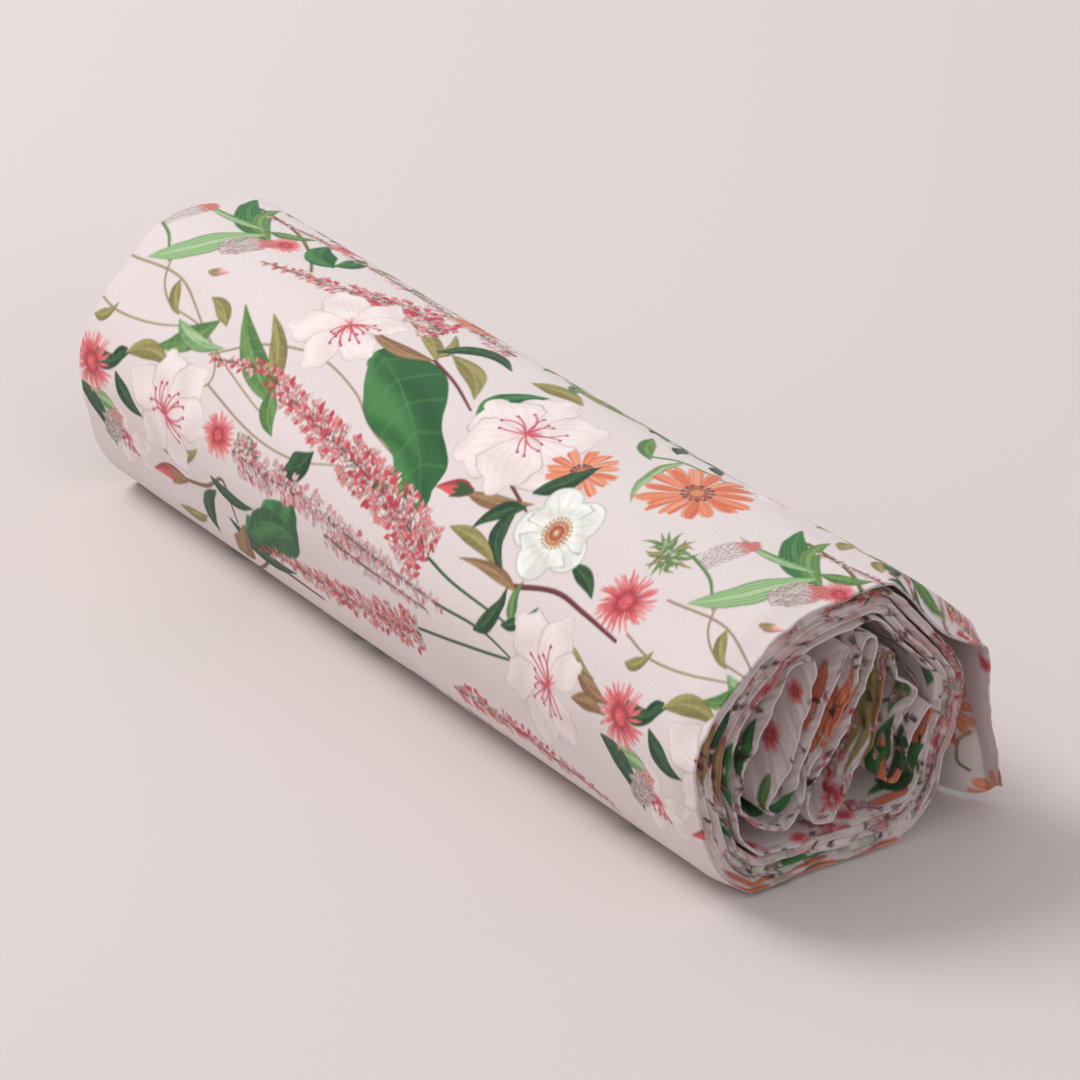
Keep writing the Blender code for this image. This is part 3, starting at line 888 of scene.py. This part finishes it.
def paint_vines_and_stems():
    green_stem = GREENS["dark"][0]
    olive_stem = GREENS["olive"][1]
    for points in (
        ((0, 266), (44, 262), (80, 276), (105, 285), (150, 297), (172, 300)),
        ((30, 240), (31, 262), (48, 276), (80, 278), (104, 288)),
        ((100, 288), (130, 268), (170, 258), (210, 263), (240, 275), (285, 283)),
        ((112, 302), (160, 311), (200, 310), (232, 300)),
        ((104, 285), (112, 300), (96, 312), (78, 314)),
        ((480, 291), (505, 295), (540, 289), (572, 276)),
    ):
        stem(points, 0.62, VINE)
    for half_width, colour, points in (
        (1.2, olive_stem, ((18, 190), (50, 191), (78, 200), (104, 216))),
        (1.0, MAROON, ((230, 223), (258, 229), (284, 238))),
        (1.1, MAROON, ((334, 255), (350, 261), (368, 267))),
        (1.5, MAROON, ((390, 303), (420, 293), (445, 294), (476, 297))),
        (1.3, MAROON, ((154, 382), (190, 386), (222, 387))),
        (1.2, TWIG * 0.7, ((128, 426), (148, 405), (172, 385))),
        (1.3, TWIG, ((95, 366), (122, 358), (140, 346), (146, 372))),
        (0.8, green_stem, ((326, 314), (352, 318), (400, 320))),
        (0.8, green_stem, ((340, 333), (380, 331), (412, 336))),
        (1.0, green_stem, ((322, 356), (368, 345), (412, 335))),
        (0.9, GREENS["green"][0], ((384, 196), (398, 186), (430, 180))),
        (0.9, GREENS["green"][0], ((478, 240), (500, 246), (516, 258))),
        (1.1, green_stem, ((400, 452), (440, 441), (484, 424))),
        (0.9, MAROON, ((10, 440), (60, 428), (120, 431), (150, 428))),
        (1.0, green_stem, ((230, 430), (190, 436), (120, 446))),
    ):
        stem(points, half_width, colour)


def paint_leaves():
    striped_leaf((55, 214), (3, 183), 9, -0.10, "deep")
    striped_leaf((57, 212), (20, 178), 6, -0.16, "green")
    striped_leaf((50, 211), (12, 262), 8.5, -0.12)
    for base, tip, *form in (
        ((44, 206), (-8, 213), 3.2, -0.08, "light"), ((48, 205), (68, 187), 4.2, 0.12, "green"),
        ((104, 202), (78, 186), 9, -0.2, "deep"), ((104, 200), (98, 177), 6, 0.15, "deep"),
        ((299, 290), (208, 240), 23, 0.07, "deep", 5, WAVY_LEAF), ((285, 290), (262, 302), 6, 0.1, "green"),
        ((290, 238), (300, 200), 7, -0.15, "deep"), ((165, 291), (100, 256), 8, -0.06, "green"),
        ((158, 288), (122, 252), 6, 0.08, "olive"), ((158, 284), (176, 306), 6, 0.12, "green"),
        ((90, 271), (60, 299), 7.5, -0.10, "green"), ((64, 281), (107, 281), 5, 0.12, "light"),
        ((97, 270), (74, 262), 4.5, 0.1, "olive"), ((45, 264), (61, 279), 3.8, 0.15, "olive"),
        ((2, 303), (14, 291), 3.5, 0.2, "olive"), ((230, 222), (182, 207), 4.5, 0.08, "olive"),
        ((230, 224), (180, 228), 4.8, -0.08, "brown"), ((228, 220), (210, 196), 3.6, 0.1, "olive"),
        ((222, 216), (262, 197), 5.2, -0.28, "dark"), ((230, 212), (278, 231), 6.0, -0.10, "olive"),
        ((40, 311), (77, 306), 5.5, -0.15, "olive"), ((38, 310), (30, 325), 4, 0.1, "dark"),
        ((151, 315), (174, 319), 6, 0.1, "green"), ((156, 374), (205, 338), 17, 0.10, "deep", 5, WAVY_LEAF),
        ((206, 352), (158, 372), 9, 0.14, "deep", 5), ((128, 349), (168, 352), 4.5, 0.12, "dark"),
        ((138, 373), (199, 381), 5.2, 0.12, "dark"), ((196, 318), (211, 301), 8.5, 0.10, "dark", 4),
        ((80, 353), (117, 337), 4.5, 0.10, "olive"), ((133, 398), (151, 371), 8, 0.15, "brown"),
        ((119, 391), (131, 357), 5.5, -0.2, "dark"), ((80, 392), (112, 384), 4.5, 0.1, "olive"),
        ((280, 196), (315, 190), 6.5, -0.10, "olive"), ((364, 182), (387, 199), 4.5, 0.10, "green"),
        ((397, 186), (417, 233), 3.2, 0.12, "light"), ((418, 277), (445, 286), 4.5, -0.08, "dark"),
        ((324, 275), (369, 262), 4.2, 0.06, "brown"), ((366, 266), (344, 289), 4.8, 0.12, "dark"),
        ((361, 269), (379, 298), 5.2, 0.22, "dark"), ((330, 294), (374, 299), 4.4, -0.08, "olive"),
        ((394, 303), (347, 305), 3.6, 0.06, "brown"), ((374, 333), (389, 304), 5.0, 0.18, "dark"),
        ((402, 318), (397, 297), 3.6, -0.12, "green"), ((396, 322), (416, 304), 3.4, 0.12, "dark"),
        ((440, 310), (474, 319), 4.8, 0.08, "olive"), ((460, 319), (489, 326), 4.4, 0.06, "brown"),
        ((460, 334), (488, 332), 4.2, -0.06, "brown"), ((6, 318), (41, 311), 5.0, 0.22, "dark"),
        ((8, 347), (41, 352), 5.2, -0.10, "light"), ((484, 344), (513, 377), 7.0, -0.16, "dark"),
        ((36, 325), (62, 340), 5.6, 0.10, "dark"), ((436, 316), (454, 319), 2.6, 0.1, "dark"),
        ((448, 322), (438, 330), 2.4, 0.1, "dark"), ((120, 447), (62, 433), 7, 0.12, "green"),
        ((96, 440), (30, 446), 5, -0.1, "olive"), ((230, 430), (180, 418), 6, 0.12, "green"),
        ((440, 441), (410, 428), 5, 0.1, "dark"), ((478, 426), (452, 412), 4.5, 0.12, "olive"),
    ):
        leaf(base, tip, *form)
    for points, kind in ((((92, 420), (112, 436), (140, 444), (164, 440)), "dark"),
                         (((230, 414), (246, 430), (272, 440), (296, 438)), "olive"),
                         (((420, 424), (402, 440), (376, 446), (352, 441)), "green"),
                         (((4, 424), (24, 440), (52, 446), (72, 438)), "green"),
                         (((330, 424), (318, 434), (300, 446)), "dark"),
                         (((470, 420), (462, 438), (444, 448)), "olive")):
        sprig(points, 17, kind)


def paint_spikes():
    spike(((30, 192), (80, 184), (160, 181), (245, 183)), 1.5, 5.0, SPIKE_PALES)
    spike(((80, 229), (120, 218), (150, 206), (180, 197), (206, 201)), 1.6, 12.0)
    spike(((345, 333), (290, 331), (230, 327), (150, 325)), 2.2, 9.5, SPIKE_PALES)
    spike(((330, 340), (280, 339), (238, 337)), 2.0, 4.5, SPIKE_PALES)
    spike(((104, 289), (140, 280), (180, 285), (220, 290), (255, 296), (285, 301), (326, 315)), 2.0, 14.5,
          fullness=1.25)
    spike(((165, 379), (200, 375), (250, 372), (285, 366), (322, 360)), 2.2, 12.0)
    spike(((478, 392), (430, 386), (380, 382), (345, 384)), 3.0, 6.5)
    spike(((300, 433), (350, 429), (432, 424)), 1.8, 3.8)
    spike(((290, 405), (330, 402), (380, 405)), 1.6, 3.4, SPIKE_PALES)


def paint_flowers():
    for centre, radius, petals, stamens in (
        ((168, 233), 34, ((205, 1.0, 0.36), (150, 1.0, 0.34), (265, 0.85, 0.34), (95, 0.9, 0.36),
                          (20, 0.9, 0.3), (320, 0.8, 0.3)), (-40, 120)),
        ((325, 232), 42, ((250, 0.85, 0.5), (310, 0.85, 0.5), (190, 0.82, 0.5), (12, 1.05, 0.44),
                          (130, 0.8, 0.5), (70, 0.8, 0.5)), (-200, 60)),
        ((86, 330), 36, ((200, 0.95, 0.36), (250, 0.9, 0.38), (300, 1.0, 0.36), (350, 0.95, 0.34),
                         (60, 0.8, 0.34), (130, 0.8, 0.34)), (-180, 40)),
        ((440, 336), 38, ((215, 1.0, 0.38), (160, 0.95, 0.36), (105, 1.0, 0.36), (60, 0.8, 0.3),
                          (270, 0.85, 0.34), (320, 0.7, 0.26)), (60, 260)),
        ((42, 362), 24, ((-10, 0.9, 0.3), (40, 0.95, 0.3), (110, 0.9, 0.3), (190, 0.9, 0.28),
                         (250, 0.8, 0.3)), (60, 200)),
    ):
        lily(centre, radius, petals, stamens)
    daisy((375, 233), 22, 0.95, 0, 14)
    leaf((364, 257), (379, 224), 6.0, 0.12, "dark")
    daisy((430, 202), 31, 0.97, 0, 15)
    white_flower((395, 268), 29)
    thistle((465, 278), 19)
    thistle((12, 328), 19)
    thistle((135, 322), 14)
    thistle((67, 208), 10)
    cone((50, 237), (62, 214), 7.5, srgb(200, 178, 176), CORAL[1])
    cone((487, 240), (492, 213), 7.0)
    bracts((465, 246), 17)
    lily((200, 430), 22, [(angle, 0.9, 0.42) for angle in (10, 80, 150, 225, 300)], (0, 300))
    thistle((326, 452), 10)
    daisy((440, 446), 15)
    bud((326, 274), (304, 281), 5.2)
    bud((96, 366), (64, 374), 6.0, CORAL[0], "brown")
    bud((60, 251), (71, 246), 2.8, CORAL[3], "olive")
    cone((20, 372), (36, 350), 7, srgb(176, 160, 160), CORAL[3])


def paint_near_end():
    """What shows at the folded edge: on the loose end, on the rims of the turns and in the core."""
    random = cotton_print.random
    cotton_print.start_strip()
    # The loose end.
    daisy((594, 47), 22, 0.95, 10)
    daisy((563, -6), 21, 0.95, 0)
    thistle((564, 88), 6)
    stem(((578, 14), (584, 20), (583, 32), (576, 38)), 0.8, GREENS["olive"][1])
    spike(((540, 128), (548, 118), (556, 104)), 3, 7)
    leaf((536, 160), (552, 128), 4.5, 0.1, "green")
    # The turns, from the outside inwards.
    for first, last, kind in (
        (455, 492, "deep"), (1398, 1440, "deep"), (2160, 2198, "deep"), (812, 850, "brown"),
        (1742, 1778, "brown"), (1282, 1310, "dark"), (1786, 1800, "deep"), (690, 715, "olive"),
    ):
        leaf((560 + random.uniform(-3, 3), first), (560 + random.uniform(-3, 3), last), 5.5, 0.05, kind)
    for first, last in ((400, 436), (440, 478), (486, 516), (905, 935), (940, 968)):
        orange_petal((558, first), (560, last), 3.4)
    for points in (((559, 590), (561, 650)), ((560, 1055), (559, 1105)), ((558, 690), (561, 735)),
                   ((561, 1495), (559, 1560)), ((560, 2105), (561, 2140)), ((559, 1900), (560, 1925)),
                   ((561, 2262), (560, 2290))):
        spike(points, 2.5, 4.5, SPIKE_REDS, 1.2)
    striped_leaf((568, 2036), (586, 1990), 9, 0.1, "green")
    thistle((574, 2040), 7)
    leaf((563, 2002), (570, 1986), 4.5, 0.1, "deep")
    orange_petal((560, 2376), (569, 2348), 4)
    # The core.
    leaf((576, 2428), (566, 2464), 8, 0.1, "deep")
    leaf((551, 2398), (556, 2438), 6.5, -0.1, "dark")
    orange_petal((566, 2452), (558, 2420), 4)
    striped_leaf((566, 2500), (570, 2463), 7, 0.08, "green")
    for across, kind in ((546, "olive"), (553, "olive"), (561, "brown"), (569, "brown")):
        leaf((across, 2508 + random.uniform(-4, 4)), (across + 2, 2592), 4.2, 0.03, kind)
    for first, last, across in ((2752, 2790, 555), (2758, 2800, 561), (2764, 2796, 549), (2700, 2680, 566),
                                (3100, 3132, 568), (3096, 3122, 575)):
        orange_petal((across, first), (across + 4, last), 4)
    for spot, radius in (((553, 2600), 9), ((540, 3012), 9), ((560, 2128), 6), ((566, 2280), 6),
                         ((556, 2860), 7), ((572, 2700), 8), ((548, 2985), 7)):
        thistle(spot, radius)
    leaf((520, 2822), (544, 2850), 9, 0, "deep")
    leaf((568, 2918), (560, 2886), 5, 0.1, "deep")
    leaf((568, 3050), (555, 3078), 5.5, 0.1, "deep")
    leaf((550, 3030), (560, 3048), 4, 0.1, "green")
    striped_leaf((561, 2356), (580, 2316), 8, 0.1, "deep")
    leaf((564, 2340), (586, 2326), 5, -0.15, "dark")
    leaf((562, 2448), (574, 2420), 5.5, 0.1, "deep")
    orange_petal((563, 2330), (572, 2312), 3.4)
    for spot, radius in (((571, 2294), 7), ((566, 2262), 6), ((572, 2236), 6), ((568, 2392), 6)):
        thistle(spot, radius)
    for points in (((563, 2312), (580, 2302)), ((562, 2284), (578, 2272)), ((563, 2220), (576, 2204))):
        spike(points, 2.5, 5, SPIKE_REDS)
    lily((530, 2960), 26, ((80, 1, 0.3), (150, 1, 0.3), (220, 1, 0.3), (290, 1, 0.3)), (0, 300))
    for points in (((575, 2960), (580, 3040)), ((545, 2640), (556, 2690)), ((535, 2540), (545, 2600)),
                   ((540, 2730), (530, 2800)), ((558, 2850), (552, 2880))):
        spike(points, 2.5, 5.5, SPIKE_REDS)
    # Bunches of inked twigs, and rows of florets, everywhere between.
    first_place, last_place = 690, 3140
    for _ in range(330):
        spot = np.array([random.uniform(547, 576), random.uniform(first_place, last_place)])
        lean = random.uniform(0, 2 * math.pi)
        for _ in range(2 + random.integers(4)):
            angle = lean + random.uniform(-0.35, 0.35)
            end = spot + random.uniform(2.5, 6.5) * np.array([math.cos(angle), math.sin(angle)])
            lay([spot, end], (0.5, 0.3), flat(INK * 0.7), strength=0.75)
            spot = spot + random.uniform(-1.7, 1.7, 2)
    for _ in range(420):
        spot = np.array([random.uniform(550, 580), random.uniform(first_place, last_place)])
        angle = random.uniform(0, 2 * math.pi)
        way = np.array([math.cos(angle), math.sin(angle)])
        for reach in range(1 + random.integers(4)):
            floret(spot + 2.6 * reach * way, way, random.uniform(0.5, 0.9), SPIKE_PALES)


def orange_petal(start, end, half_width):
    def shade(s, q):
        colour = mix(ORANGES[0], ORANGES[1] * 0.9, 0.5 + 0.5 * np.cos(q * 9))
        return mix(colour, MAROON, 0.7 * smoothstep((np.abs(q) - 0.75) / 0.25))

    lay(arc(start, end, 0.04), half_width * np.array((0.4, 0.7, 0.95, 1.0, 0.95, 0.6)), shade)


# ---------------------------------------------------------------- the cloth's material

YARN_SPACING = 0.42 * MM


def new_material(name):
    material = bpy.data.materials.new(name)
    material.use_nodes = True
    nodes, links = material.node_tree.nodes, material.node_tree.links
    nodes.clear()
    shader = nodes.new("ShaderNodeBsdfPrincipled")
    output = nodes.new("ShaderNodeOutputMaterial")
    links.new(shader.outputs[0], output.inputs["Surface"])
    return material, nodes, links, shader


def cotton_material(name, sheen):
    """Plain-weave cotton: its print, two sets of threads, slubs, faint creases and a soft sheen."""
    material, nodes, links, shader = new_material(name)

    def calc(operation, *values):
        node = nodes.new("ShaderNodeMath")
        node.operation = operation
        for socket, value in zip(node.inputs, values):
            if isinstance(value, (int, float)):
                socket.default_value = value
            else:
                links.new(value, socket)
        return node.outputs[0]

    printed = nodes.new("ShaderNodeAttribute")
    printed.attribute_name = "print"
    threads = nodes.new("ShaderNodeAttribute")
    threads.attribute_name = "threads"
    split = nodes.new("ShaderNodeSeparateXYZ")
    links.new(threads.outputs["Vector"], split.inputs[0])

    def noise(scale_across, scale_along, detail, distortion=0.0):
        place = nodes.new("ShaderNodeVectorMath")
        place.operation = "MULTIPLY"
        place.inputs[1].default_value = (scale_across, scale_along, 1)
        links.new(threads.outputs["Vector"], place.inputs[0])
        texture = nodes.new("ShaderNodeTexNoise")
        texture.inputs["Scale"].default_value = 1
        texture.inputs["Detail"].default_value = detail
        texture.inputs["Distortion"].default_value = distortion
        links.new(place.outputs[0], texture.inputs["Vector"])
        return texture.outputs["Fac"]

    def yarn(coordinate, other):
        """Rows of yarn, as a value that rises and falls between 0 and 1 from one yarn to the next."""
        turn = calc("MULTIPLY", coordinate, 2 * math.pi / YARN_SPACING)
        wobble = calc("MULTIPLY", other, 1.6)
        wave = calc("SINE", calc("ADD", turn, wobble))
        return calc("MULTIPLY_ADD", wave, 0.5, 0.5)

    fibres = noise(900, 900, 3)
    warp_slubs = noise(1500, 60, 2)
    weft_slubs = noise(60, 1500, 2)
    creases = noise(22, 60, 4, 1.2)
    warp = yarn(split.outputs["X"], fibres)
    weft = yarn(split.outputs["Y"], fibres)
    weave = calc("MULTIPLY", warp, weft)
    slubs = calc("ADD", warp_slubs, weft_slubs)

    # Colour: the print, a little darker between the yarns, uneven along the slubs.
    shade = calc("MULTIPLY_ADD", weave, 0.05, 0.93)
    shade = calc("MULTIPLY_ADD", slubs, 0.075, shade)
    patches = calc("MULTIPLY_ADD", noise(9, 9, 3), 0.06, -0.115)
    mottling = calc("MULTIPLY", noise(420, 420, 2), 0.07)
    patches = calc("ADD", patches, mottling)
    shade = calc("ADD", shade, patches)
    tint = nodes.new("ShaderNodeMix")
    tint.data_type = "RGBA"
    tint.blend_type = "MULTIPLY"
    tint.inputs["Factor"].default_value = 1
    links.new(printed.outputs["Color"], tint.inputs[6])
    grey = nodes.new("ShaderNodeCombineColor")
    for channel in grey.inputs:
        links.new(shade, channel)
    links.new(grey.outputs[0], tint.inputs[7])
    links.new(tint.outputs[2], shader.inputs["Base Color"])

    roughness = calc("MULTIPLY_ADD", fibres, 0.16, 0.76)
    links.new(roughness, shader.inputs["Roughness"])
    height = calc("MULTIPLY", weave, 0.10)
    height = calc("MULTIPLY_ADD", slubs, 0.12, height)
    height = calc("MULTIPLY_ADD", fibres, 0.10, height)
    height = calc("MULTIPLY_ADD", creases, 1.0, height)
    bump = nodes.new("ShaderNodeBump")
    bump.inputs["Strength"].default_value = 0.55
    bump.inputs["Distance"].default_value = 0.6 * MM
    links.new(height, bump.inputs["Height"])
    links.new(bump.outputs[0], shader.inputs["Normal"])
    shader.inputs["Sheen Weight"].default_value = sheen
    shader.inputs["Sheen Roughness"].default_value = 0.45
    shader.inputs["Specular IOR Level"].default_value = 0.25
    return material


# ---------------------------------------------------------------- the pieces of cloth

def steps(first, last, step):
    """Evenly spaced places from first to last, about a step apart."""
    return np.linspace(first, last, max(2, round(abs(last - first) / step) + 1))


def joined(*runs):
    """Places that follow each other, each run starting where the one before it ended."""
    return np.concatenate([runs[0], *(run[1:] for run in runs[1:])])


SEEN_STEP = 0.62 * MM  # the mesh where the print shows at full size
LOOSE_STEP = 0.66 * MM  # and on the loose end
FOLD_END = 0.012  # the pieces with the rounded fold end this far behind it
FOLD = joined(steps(12, 4, 1.0), steps(4, 1.6, 0.6), steps(1.6, -1.6, 0.32), steps(-1.6, -4, 0.6),
              steps(-4, -12, 1.0)) * MM


def both_plies(hidden_step):
    """Places across both plies of an inner turn: fine at the roll's two ends, coarse between them."""
    ply = joined(steps(12, 45, 1.5), steps(45, 540, hidden_step), steps(540, 560, 1.25)) * MM
    return joined(ply[::-1], FOLD, -ply)


def place_piece(piece, nodes, body="roll"):
    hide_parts(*nodes)
    if body:
        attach(piece, body)


UNDERSIDE_FROM = 245  # the angle where the outermost turn passes out of sight, under the roll


def make_turns(face):
    """The five turns. The outermost is in several pieces, fine on top and at the sides, where it is seen."""
    under = float(np.interp(UNDERSIDE_FROM, route.turn_angles, route.turn_along))
    first, second = route.starts["turn_1"], route.starts["turn_2"]
    top = steps(first, under, SEEN_STEP)
    below = steps(under, second, 1.3 * MM)
    cuts = (HALF_WIDTH, 0.45, 0.34, 0.23, 0.12, FOLD_END)
    for number, (far, near) in enumerate(zip(cuts, cuts[1:])):
        piece = strip(f"turn_1_top_{number + 1}", top, steps(far, near, SEEN_STEP), face)
        place_piece(piece, ["turn_1"])
    inner = joined(FOLD, steps(-12, -45, 1.5) * MM, steps(-45, -540, 15) * MM, steps(-540, -560, 1.25) * MM)
    piece = strip("turn_1_top_fold_and_inner_ply", top, inner, face)
    place_piece(piece, ["turn_1"])
    outer = steps(HALF_WIDTH, FOLD_END, 1.5 * MM)
    piece = strip("turn_1_under", below, joined(outer, inner), face)
    place_piece(piece, ["turn_1"])
    for number in range(2, math.ceil(TURNS) + 1):
        name = f"turn_{number}"
        start, end = route.starts[name], route.end_of(name)
        piece = strip(name + "_cloth", steps(start, end, 0.95 * MM), both_plies(20), face)
        place_piece(piece, [name])


def make_core(face):
    """The eight folds in the middle, one piece each."""
    for name, _ in CORE_FOLDS:
        start, end = route.starts[name], route.end_of(name)
        piece = strip(name + "_cloth", steps(start, end, 0.8 * MM), both_plies(20), face)
        place_piece(piece, [name])


def make_loose_end(face):
    """The loose end in two lengths, which meet halfway down its top."""
    crease, leaves = route.starts["loose_end_top"], LEAVES_ROLL
    halfway = crease + 0.5 * (leaves - crease)
    cuts = (HALF_WIDTH, 0.36, 0.18, FOLD_END)
    sides = [(f"face_{number}", steps(far, near, LOOSE_STEP))
             for number, far, near in zip((1, 2, 3), cuts, cuts[1:])]
    sides += [("fold", FOLD), ("back", steps(-FOLD_END, -HALF_WIDTH, 1.2 * MM))]
    for name, start, end, held, bodies, bend in (
        ("loose_end_top", halfway, leaves, "draped", ("roll", "loose_end_top"), (leaves, leaves - 0.022)),
        ("loose_end_drop", 0.0, halfway, "hung", ("loose_end_top", "loose_end_drop"),
         (crease + 0.016, crease - 0.010)),
    ):
        for side, columns in sides:
            rows = steps(start, end, 1.0 * MM if side == "back" else LOOSE_STEP)
            piece = strip(f"{name}_{side}", rows, columns, face)
            place_piece(piece, [name], body=None)
            for place in bend:
                y, z, _, _ = route.middle(np.array([place]))
            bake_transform(piece)


# ---------------------------------------------------------------- floor, light and camera

def stage():
    """A plain pale floor, flat around the part, whose far rim rises as a low backdrop."""
    material, nodes, links, shader = new_material("studio_floor")
    shader.inputs["Base Color"].default_value = (0.705, 0.640, 0.625, 1)
    shader.inputs["Roughness"].default_value = 0.95
    shader.inputs["Specular IOR Level"].default_value = 0.1
    sides, flat_radius, rim_width, rim_height = 96, 4.6, 1.8, 0.95
    radii = np.r_[flat_radius - 0.1, np.linspace(flat_radius, flat_radius + rim_width, 13)]
    heights = rim_height * smoothstep((radii - flat_radius) / rim_width)
    turns = np.arange(sides) * 2 * math.pi / sides
    corners = [(0, 0, 0)]
    for radius, height in zip(radii, heights):
        corners += [(radius * math.cos(turn), radius * math.sin(turn), height) for turn in turns]
    faces = [(0, 1 + k, 1 + (k + 1) % sides) for k in range(sides)]
    for ring in range(len(radii) - 1):
        first = 1 + ring * sides
        faces += [(first + k, first + sides + k, first + sides + (k + 1) % sides, first + (k + 1) % sides)
                  for k in range(sides)]
    mesh = bpy.data.meshes.new("studio_floor")
    mesh.from_pydata(corners, [], faces)
    mesh.shade_smooth()
    mesh.materials.append(material)
    floor = bpy.data.objects.new("studio_floor", mesh)
    bpy.context.scene.collection.objects.link(floor)


def area_light(name, place, target, size, power, colour):
    light = bpy.data.lights.new(name, "AREA")
    light.shape = "DISK"
    light.size = size
    light.energy = power
    light.color = colour
    lamp = bpy.data.objects.new(name, light)
    lamp.location = place
    lamp.rotation_euler = (Vector(target) - Vector(place)).to_track_quat("-Z", "Y").to_euler()
    bpy.context.scene.collection.objects.link(lamp)


def light_the_studio():
    """A key light from the upper left, a weak one from the right, and a soft sky."""
    area_light("key", (-2.5, -1.35, 3.2), (0, 0, 0.05), 2.1, 110, (1.0, 0.985, 0.975))
    area_light("fill", (3.0, -0.4, 1.5), (0.1, 0, 0.05), 1.6, 9, (1.0, 0.97, 0.99))
    world = bpy.data.worlds.new("studio")
    world.use_nodes = True
    world.node_tree.nodes["Background"].inputs["Color"].default_value = (0.88, 0.865, 0.88, 1)
    world.node_tree.nodes["Background"].inputs["Strength"].default_value = 0.68
    bpy.context.scene.world = world
    bpy.context.scene.view_settings.view_transform = "Standard"


def place_camera():
    """A long lens from the photo's side, above the near end of the roll."""
    azimuth, elevation, distance = math.radians(55), math.radians(27), 4.143
    back = Vector((math.sin(azimuth) * math.cos(elevation), -math.cos(azimuth) * math.cos(elevation),
                   math.sin(elevation)))
    data = bpy.data.cameras.new("camera")
    data.lens = 267.35
    data.sensor_width = 36
    data.shift_x = 0.034
    data.shift_y = -0.011
    data.clip_end = 50
    camera = bpy.data.objects.new("camera", data)
    camera.location = Vector((0, CENTRE_Y, CENTRE_Z)) + back * distance
    camera.rotation_euler = back.to_track_quat("Z", "Y").to_euler()
    bpy.context.scene.collection.objects.link(camera)
    bpy.context.scene.camera = camera


place_camera()
stage()
light_the_studio()
cotton_print = Print()
paint_vines_and_stems()
paint_leaves()
paint_spikes()
paint_flowers()
cotton_print.soften()
paint_near_end()
cotton_print.soften()
cotton = cotton_material("printed_cotton_weave", 0.15)
make_turns(cotton)
make_core(cotton)
make_loose_end(cotton)
